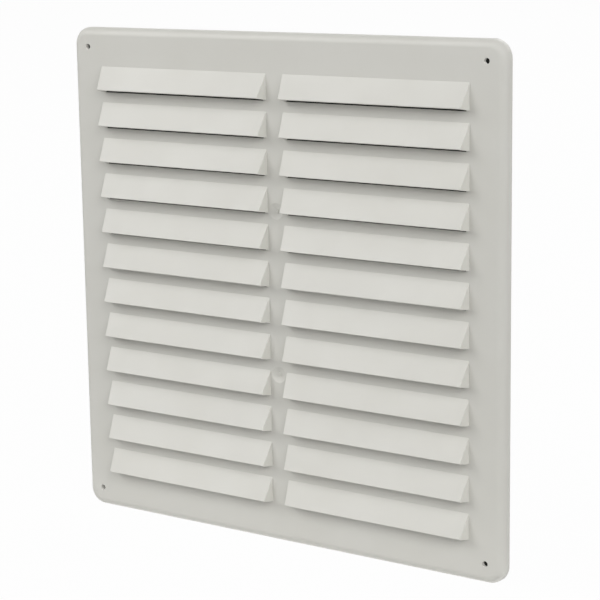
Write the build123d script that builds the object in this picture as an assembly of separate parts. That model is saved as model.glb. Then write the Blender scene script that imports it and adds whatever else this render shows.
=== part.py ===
"""Louvred vent: one moulded plastic plate with two columns of hooded louvres.

Frame: +Z up, +X to the right and the front towards -Y, in millimetres. The plane y = 0 holds
the rear rim that meets the wall, and the origin is at the middle of that plane.
"""
import math
import os

from build123d import *

# Plate: a shallow tray with rounded corners, open at the back
plate_width = 260.0
plate_height = 260.0
plate_depth = 6.2
plate_wall = 1.8
corner_radius = 9.0
front_edge_radius = 4.0

# Louvre field
hood_columns = 2
side_margin = 19.0
mullion_width = 10.0
top_margin = 20.0
least_bottom_margin = 20.0

# One hood: a roof that slopes forward and down to a lip, closed by two drafted cheeks
hood_height = 11.9
hood_gap = 6.85
hood_reach = 6.2
hood_wall = 1.6
hood_edge_radius = 0.35
cheek_draft = 13.0
cheek_drop = 1.1
slot_drop = 1.5
slot_draft = 12.0

# Screw holes, each inside a ring that stands on the wall
screw_inset = 10.0
screw_bore = 2.9
screw_mouth_chamfer = 0.1
ring_diameter = 12.0
ring_wall = 1.5

# Gate marks on the mullion: a shallow dimple with the stub of the sprue in it
gate_spacing = 83.5
gate_diameter = 8.4
gate_depth = 0.9
stub_diameter = 2.0
stub_height = 0.45

# Overlap that lets a fused piece bite into the plate and a cut run past a face
bite = plate_wall / 2

# Sizes that follow from the ones above
hood_length = (plate_width - 2 * side_margin - (hood_columns - 1) * mullion_width) / hood_columns
hood_pitch = hood_height + hood_gap
field_height = plate_height - top_margin - least_bottom_margin
hood_rows = int((field_height - hood_height) / hood_pitch) + 1
first_hood_top = plate_height / 2 - top_margin
column_pitch = hood_length + mullion_width
roof_slope = hood_height / hood_reach
roof_angle = math.atan2(hood_reach, hood_height)
roof_drop = hood_wall / math.sin(roof_angle)
cheek_wall = hood_wall / math.cos(math.radians(cheek_draft))
cheek_fall = cheek_drop / hood_reach

front_plane = Plane.XZ.offset(plate_depth)


def rounded_block(width, height, depth, side_radius, edge_radius):
    """A block from the rear plane forward, with round corners and a round front edge."""
    block = extrude(Plane.XZ * RectangleRounded(width, height, side_radius), depth)
    front_face = block.faces().sort_by(Axis.Y)[0]
    return fillet(front_face.edges(), edge_radius)


def make_tray():
    """The plate and its rim: the outer block less the block of the rear recess."""
    outer = rounded_block(plate_width, plate_height, plate_depth, corner_radius, front_edge_radius)
    recess = rounded_block(
        plate_width - 2 * plate_wall,
        plate_height - 2 * plate_wall,
        plate_depth - plate_wall,
        corner_radius - plate_wall,
        front_edge_radius - plate_wall,
    )
    return outer - recess


def drafted_wedge(profile_points, length):
    """A side profile drawn out along X, with both ends drafted about the plate's front face."""
    profile = make_face(Plane.YZ * Polyline(profile_points, close=True))
    wedge = extrude(profile, length / 2, both=True)
    return draft(wedge.faces().filter_by(Axis.X), front_plane, cheek_draft)


def make_hood():
    """The outside of one hood, its top edge at z = 0, rooted inside the plate.

    The cheeks' lower edges fall from the lip towards the plate, as the mould's shut-off does.
    """
    root = bite - plate_depth
    wedge = drafted_wedge(
        [
            (root, bite * roof_slope),
            (-plate_depth - hood_reach, -hood_height),
            (root, -hood_height - (hood_reach + bite) * cheek_fall),
        ],
        hood_length,
    )
    roof = wedge.faces().sort_by(lambda face: face.normal_at().Z)[-1]
    lip_and_cheek_edges = roof.edges().sort_by(Axis.Y)[:3]
    return fillet(lip_and_cheek_edges, hood_edge_radius)


def make_hood_core():
    """The air under one hood and through the plate, a wall's thickness inside the hood.

    The floor of the slot slopes down to the rear, so that the mould's core draws out.
    """
    back = plate_wall + bite
    slot_bottom = -hood_height - slot_drop
    slot_fall = back * math.tan(math.radians(slot_draft))
    front = (roof_drop + slot_bottom) / roof_slope
    return drafted_wedge(
        [
            (back - plate_depth, back * roof_slope - roof_drop),
            (front - plate_depth, slot_bottom),
            (-plate_depth, slot_bottom),
            (back - plate_depth, slot_bottom - slot_fall),
        ],
        hood_length - 2 * cheek_wall,
    )


def hood_places():
    """One place for each hood, column by column from the top row down."""
    first_column = -(hood_columns - 1) * column_pitch / 2
    return [
        Pos(first_column + column * column_pitch, 0, first_hood_top - row * hood_pitch)
        for column in range(hood_columns)
        for row in range(hood_rows)
    ]


def screw_places():
    """The four corners of the screw pattern, on the rear plane."""
    half_width = plate_width / 2 - screw_inset
    half_height = plate_height / 2 - screw_inset
    return [Pos(x, 0, z) for x in (-half_width, half_width) for z in (-half_height, half_height)]


def make_screw_ring():
    """A ring from the rear plane to the plate, which takes the pull of the screw."""
    outer = Circle(ring_diameter / 2)
    inner = Circle(ring_diameter / 2 - ring_wall)
    return extrude(Plane.XZ * (outer - inner), plate_depth - bite)


def make_screw_hole():
    """A screw's way through the plate, with a small chamfer at its mouth."""
    radius = screw_bore / 2
    half_section = make_face(
        Plane.XY
        * Polyline(
            (0, bite),
            (radius, bite),
            (radius, screw_mouth_chamfer - plate_depth),
            (radius + screw_mouth_chamfer, -plate_depth),
            (radius + screw_mouth_chamfer, -plate_depth - bite),
            (0, -plate_depth - bite),
            close=True,
        )
    )
    return revolve(half_section, Axis.Y)


def gate_places():
    """The two gate marks, above and below the middle of the mullion."""
    return [Pos(0, -plate_depth, z) for z in (-gate_spacing / 2, gate_spacing / 2)]


def make_gate_dimple():
    """A shallow round hollow, cut by a large ball."""
    ball_radius = (gate_diameter**2 / 4 + gate_depth**2) / (2 * gate_depth)
    return Pos(0, gate_depth - ball_radius, 0) * Sphere(ball_radius)


def make_gate_stub():
    """What is left of the sprue, standing on the floor of the dimple."""
    stub = extrude(Plane.XZ * Circle(stub_diameter / 2), stub_height + bite / 2)
    return Pos(0, gate_depth + bite / 2, 0) * stub


def make_vent():
    """The whole moulding."""
    hood = make_hood()
    hood_core = make_hood_core()
    vent = make_tray()
    vent -= [place * make_gate_dimple() for place in gate_places()]
    vent += [place * make_gate_stub() for place in gate_places()]
    vent += [place * hood for place in hood_places()]
    vent += [place * make_screw_ring() for place in screw_places()]
    vent -= [place * hood_core for place in hood_places()]
    vent -= [place * make_screw_hole() for place in screw_places()]
    return vent


os.makedirs("parts", exist_ok=True)
export_step(make_vent(), "parts/vent_plate.step")
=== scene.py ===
"""Louvred vent in a plain studio: moulded plastic finish, soft light and the photograph's camera."""
import math

import bpy
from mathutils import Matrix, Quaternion, Vector


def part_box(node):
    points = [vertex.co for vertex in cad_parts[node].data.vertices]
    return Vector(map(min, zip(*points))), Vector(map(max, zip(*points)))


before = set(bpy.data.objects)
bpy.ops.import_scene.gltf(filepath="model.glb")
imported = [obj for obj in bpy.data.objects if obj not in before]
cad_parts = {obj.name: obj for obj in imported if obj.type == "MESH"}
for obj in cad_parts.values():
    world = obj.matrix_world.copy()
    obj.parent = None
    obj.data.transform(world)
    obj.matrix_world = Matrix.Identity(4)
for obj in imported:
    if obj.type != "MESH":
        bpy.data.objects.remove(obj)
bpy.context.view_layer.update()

vent_low, vent_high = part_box("vent_plate")
vent = bpy.data.objects["vent_plate"]

# Camera, in metres and degrees
CAMERA_PLACE = Vector((0.57046, -0.79264, 0.18922))
CAMERA_AZIMUTH = 35.290
CAMERA_ELEVATION = 11.212
CAMERA_ROLL = -0.850
CAMERA_LENS_MM = 118.387
CAMERA_SENSOR_MM = 36.0
VIEW_AXIS = (0.0, 0.0, 1.0)

WHITE = (1.0, 1.0, 1.0, 1.0)
FULL_RANGE = (0.0, 1.0)

# Plastic, with the lowest and highest roughness
PLASTIC_COLOUR = (0.652, 0.645, 0.602, 1.0)
PLASTIC_COLOUR_DEEP = (0.636, 0.628, 0.582, 1.0)
PLASTIC_ROUGHNESS = (0.42, 0.52)
PLASTIC_IOR = 1.48

# Noise in the plastic: size of its features in metres, then the texture's detail and roughness
MOTTLE_NOISE = (0.045, 3.0, 0.55)
GLOSS_NOISE = (0.018, 4.0, 0.6)
WAVE_NOISE = (0.030, 1.0, 0.4)
GRAIN_NOISE = (0.0004, 2.0, 0.5)

# The part of the noise that is spread over the two colours, or over the two roughnesses
MOTTLE_RANGE = (0.35, 0.65)
GLOSS_RANGE = (0.3, 0.7)

# Depth of the bumps in metres
WAVE_DEPTH = 0.00004
GRAIN_DEPTH = 0.000006

# Shading: edges that turn by more than the limit stay sharp, and large faces lead the normals
SMOOTH_LIMIT = math.radians(24)
LARGE_FACE_WEIGHT = 100

# Stage, in metres
FLOOR_DROP = 0.001
FLOOR_SIZE = 30.0
FLOOR_COLOUR = (0.6, 0.6, 0.6, 1.0)
FLOOR_WHITE_SHARE = 0.98
# Painted shade: a dark card behind the slots that stands for the shade there, seen only by the camera
PAINTED_SHADE_COLOUR = (0.014, 0.014, 0.013, 1.0)
SHADE_CARD_INSET = 0.0042
SHADE_CARD_DEPTH = 0.0004

# Lamps: bearing from the front and height in degrees, distance in metres, power in watts
LAMPS = {
    "key_left": (-45.0, 30.0, 3.2, 57.0),
    "fill_right": (45.0, 30.0, 4.5, 83.0),
    "high_right": (60.0, 45.0, 4.5, 15.0),
    "side_right": (75.0, 18.0, 4.5, 56.0),
    "edge_right": (125.0, 18.0, 4.5, 14.0),
}
REAR_LAMP = (180.0, 35.0, 4.5, 90.0)

# Width of a lamp as a share of its distance
LAMP_SPREAD = 0.667

# Diffuse bounces that the rear lamp stays under: more than none, less than one
BOUNCE_LIMIT = 0.5

# Low lamps at the foot, for the light that the pale ground throws up: near and far side in front
# of the wall plane in metres, power in watts
FOOT_LAMPS = {
    "foot": (0.013, 0.088, 0.021),
    "foot_edge": (0.0005, 0.0065, 0.0040),
}
FOOT_WIDTH = 0.4


def new_material(name):
    """An empty node material, its node tree and its output node."""
    material = bpy.data.materials.new(name)
    material.use_nodes = True
    material.node_tree.nodes.clear()
    output = material.node_tree.nodes.new("ShaderNodeOutputMaterial")
    return material, material.node_tree, output


def add_noise(tree, coordinates, feature_size, detail, roughness):
    """A noise texture whose features are about feature_size metres across."""
    noise = tree.nodes.new("ShaderNodeTexNoise")
    noise.inputs["Scale"].default_value = 1.0 / feature_size
    noise.inputs["Detail"].default_value = detail
    noise.inputs["Roughness"].default_value = roughness
    tree.links.new(coordinates, noise.inputs["Vector"])
    return noise.outputs["Fac"]


def add_range(tree, value, old_range, new_range):
    """Map a value from one range to another, clamped."""
    mapped = tree.nodes.new("ShaderNodeMapRange")
    mapped.inputs["From Min"].default_value = old_range[0]
    mapped.inputs["From Max"].default_value = old_range[1]
    mapped.inputs["To Min"].default_value = new_range[0]
    mapped.inputs["To Max"].default_value = new_range[1]
    tree.links.new(value, mapped.inputs["Value"])
    return mapped.outputs["Result"]


def add_bump(tree, height, distance, normal=None):
    """A bump of the given real depth, laid over an earlier normal if there is one."""
    bump = tree.nodes.new("ShaderNodeBump")
    bump.inputs["Strength"].default_value = 1.0
    bump.inputs["Distance"].default_value = distance
    tree.links.new(height, bump.inputs["Height"])
    if normal is not None:
        tree.links.new(normal, bump.inputs["Normal"])
    return bump.outputs["Normal"]


def make_plastic():
    """Pale grey satin plastic with a fine mould texture and slight unevenness."""
    material, tree, output = new_material("vent_plastic_finish")
    shader = tree.nodes.new("ShaderNodeBsdfPrincipled")
    shader.inputs["IOR"].default_value = PLASTIC_IOR
    coordinates = tree.nodes.new("ShaderNodeTexCoord").outputs["Object"]

    mottle = add_noise(tree, coordinates, *MOTTLE_NOISE)
    tone = tree.nodes.new("ShaderNodeMix")
    tone.data_type = "RGBA"
    tone.inputs["A"].default_value = PLASTIC_COLOUR_DEEP
    tone.inputs["B"].default_value = PLASTIC_COLOUR
    tree.links.new(add_range(tree, mottle, MOTTLE_RANGE, FULL_RANGE), tone.inputs["Factor"])
    tree.links.new(tone.outputs["Result"], shader.inputs["Base Color"])

    gloss = add_noise(tree, coordinates, *GLOSS_NOISE)
    tree.links.new(add_range(tree, gloss, GLOSS_RANGE, PLASTIC_ROUGHNESS), shader.inputs["Roughness"])

    wave = add_noise(tree, coordinates, *WAVE_NOISE)
    grain = add_noise(tree, coordinates, *GRAIN_NOISE)
    normal = add_bump(tree, wave, WAVE_DEPTH)
    normal = add_bump(tree, grain, GRAIN_DEPTH, normal)
    tree.links.new(normal, shader.inputs["Normal"])
    tree.links.new(shader.outputs["BSDF"], output.inputs["Surface"])
    return material


def dress_vent():
    """Give the moulding its finish, with smooth shading between its true creases."""
    vent.data.materials.clear()
    vent.data.materials.append(make_plastic())
    vent.data.set_sharp_from_angle(angle=SMOOTH_LIMIT)
    weighted = vent.modifiers.new("even_normals", "WEIGHTED_NORMAL")
    weighted.keep_sharp = True
    weighted.weight = LARGE_FACE_WEIGHT


def make_plane(name, corners, material):
    """A flat four-cornered stage piece."""
    mesh = bpy.data.meshes.new(name)
    mesh.from_pydata(corners, [], [(0, 1, 2, 3)])
    piece = bpy.data.objects.new(name, mesh)
    piece.data.materials.append(material)
    bpy.context.scene.collection.objects.link(piece)
    return piece


def add_seen_rays(tree):
    """One for the rays that show the stage itself: from the camera, a reflection or clear material."""
    path = tree.nodes.new("ShaderNodeLightPath")
    seen = path.outputs["Is Camera Ray"]
    for other in ("Is Glossy Ray", "Is Transmission Ray"):
        either = tree.nodes.new("ShaderNodeMath")
        either.operation = "MAXIMUM"
        tree.links.new(seen, either.inputs[0])
        tree.links.new(path.outputs[other], either.inputs[1])
        seen = either.outputs["Value"]
    return seen


def add_one_sided(tree, shader):
    """The shader on the front of a flat piece, and a clear back."""
    clear = tree.nodes.new("ShaderNodeBsdfTransparent")
    side = tree.nodes.new("ShaderNodeNewGeometry")
    mix = tree.nodes.new("ShaderNodeMixShader")
    tree.links.new(side.outputs["Backfacing"], mix.inputs["Fac"])
    tree.links.new(shader, mix.inputs[1])
    tree.links.new(clear.outputs["BSDF"], mix.inputs[2])
    return mix.outputs["Shader"]


def make_floor():
    """A pale floor just below the vent, near white where it is seen, that keeps the shadow."""
    material, tree, output = new_material("floor_white")
    diffuse = tree.nodes.new("ShaderNodeBsdfDiffuse")
    diffuse.inputs["Color"].default_value = FLOOR_COLOUR
    glow = tree.nodes.new("ShaderNodeEmission")
    share = tree.nodes.new("ShaderNodeMath")
    share.operation = "MULTIPLY"
    share.inputs[1].default_value = FLOOR_WHITE_SHARE
    mix = tree.nodes.new("ShaderNodeMixShader")
    tree.links.new(add_seen_rays(tree), share.inputs[0])
    tree.links.new(share.outputs["Value"], mix.inputs["Fac"])
    tree.links.new(diffuse.outputs["BSDF"], mix.inputs[1])
    tree.links.new(glow.outputs["Emission"], mix.inputs[2])
    tree.links.new(add_one_sided(tree, mix.outputs["Shader"]), output.inputs["Surface"])
    level = vent_low[2] - FLOOR_DROP
    half = FLOOR_SIZE / 2
    corners = [(-half, -half, level), (half, -half, level), (half, half, level), (-half, half, level)]
    make_plane("floor", corners, material)


def make_painted_shade_card():
    """A dark card of painted shade inside the rear rim, standing for the shade behind the slots.

    Only the camera sees it, and only from the front, so it neither shades the vent nor hides its back.
    """
    material, tree, output = new_material("painted_shade_behind_slots")
    dark = tree.nodes.new("ShaderNodeEmission")
    dark.inputs["Color"].default_value = PAINTED_SHADE_COLOUR
    tree.links.new(add_one_sided(tree, dark.outputs["Emission"]), output.inputs["Surface"])
    left, right = vent_low[0] + SHADE_CARD_INSET, vent_high[0] - SHADE_CARD_INSET
    bottom, top = vent_low[2] + SHADE_CARD_INSET, vent_high[2] - SHADE_CARD_INSET
    level = vent_high[1] - SHADE_CARD_DEPTH
    corners = [(left, level, bottom), (right, level, bottom), (right, level, top), (left, level, top)]
    slot_shade_card = make_plane("slot_shade_card", corners, material)
    slot_shade_card.visible_diffuse = False
    slot_shade_card.visible_glossy = False
    slot_shade_card.visible_transmission = False
    slot_shade_card.visible_shadow = False


def make_world():
    """White to the camera and to reflections, and no light of its own for the rest."""
    world = bpy.data.worlds.new("studio")
    world.use_nodes = True
    bpy.context.scene.world = world
    tree = world.node_tree
    tree.nodes.clear()
    white = tree.nodes.new("ShaderNodeBackground")
    white.inputs["Color"].default_value = WHITE
    output = tree.nodes.new("ShaderNodeOutputWorld")
    tree.links.new(add_seen_rays(tree), white.inputs["Strength"])
    tree.links.new(white.outputs["Background"], output.inputs["Surface"])


def direction(azimuth, elevation):
    """The unit vector towards a bearing from the front, positive to the right, and a height."""
    azimuth = math.radians(azimuth)
    elevation = math.radians(elevation)
    level = math.cos(elevation)
    return Vector((math.sin(azimuth) * level, -math.cos(azimuth) * level, math.sin(elevation)))


def make_softbox(name, azimuth, elevation, distance, power):
    """A large square lamp aimed at the middle of the vent, as wide as a set share of its distance."""
    lamp = bpy.data.lights.new(name, "AREA")
    lamp.shape = "SQUARE"
    lamp.size = distance * LAMP_SPREAD
    lamp.energy = power
    softbox = bpy.data.objects.new(name, lamp)
    softbox.location = direction(azimuth, elevation) * distance
    softbox.rotation_mode = "QUATERNION"
    softbox.rotation_quaternion = direction(azimuth, elevation).to_track_quat("Z", "Y")
    softbox.visible_camera = False
    bpy.context.scene.collection.objects.link(softbox)
    return softbox


def make_rear_lamp():
    """A lamp behind the vent that lights only what it shines on.

    Its light takes no further bounce, so none of it comes out of the slots at the front.
    """
    lamp = make_softbox("rear", *REAR_LAMP).data
    lamp.use_nodes = True
    tree = lamp.node_tree
    path = tree.nodes.new("ShaderNodeLightPath")
    first = tree.nodes.new("ShaderNodeMath")
    first.operation = "LESS_THAN"
    first.inputs[1].default_value = BOUNCE_LIMIT
    tree.links.new(path.outputs["Diffuse Depth"], first.inputs[0])
    tree.links.new(first.outputs["Value"], tree.nodes["Emission"].inputs["Strength"])


def make_foot_lamp(name, near, far, power):
    """A weak low lamp between the floor and the vent's lower edge, or in front of it, shining up."""
    lamp = bpy.data.lights.new(name, "AREA")
    lamp.shape = "RECTANGLE"
    lamp.size = FOOT_WIDTH
    lamp.size_y = far - near
    lamp.energy = power
    foot = bpy.data.objects.new(name, lamp)
    foot.location = (0.0, -(near + far) / 2, vent_low[2] - FLOOR_DROP / 2)
    foot.rotation_euler = (math.pi, 0.0, 0.0)
    foot.visible_camera = False
    bpy.context.scene.collection.objects.link(foot)


def make_camera():
    """The photograph's viewpoint."""
    data = bpy.data.cameras.new("photo_camera")
    data.sensor_width = CAMERA_SENSOR_MM
    data.lens = CAMERA_LENS_MM
    camera = bpy.data.objects.new("photo_camera", data)
    camera.location = CAMERA_PLACE
    camera.rotation_mode = "QUATERNION"
    roll = Quaternion(VIEW_AXIS, math.radians(CAMERA_ROLL))
    back = direction(CAMERA_AZIMUTH, CAMERA_ELEVATION)
    camera.rotation_quaternion = back.to_track_quat("Z", "Y") @ roll
    bpy.context.scene.collection.objects.link(camera)
    bpy.context.scene.camera = camera


dress_vent()
make_floor()
make_painted_shade_card()
make_world()
for lamp_name, setting in LAMPS.items():
    make_softbox(lamp_name, *setting)
make_rear_lamp()
for lamp_name, setting in FOOT_LAMPS.items():
    make_foot_lamp(lamp_name, *setting)
make_camera()
bpy.context.scene.view_settings.view_transform = "Standard"
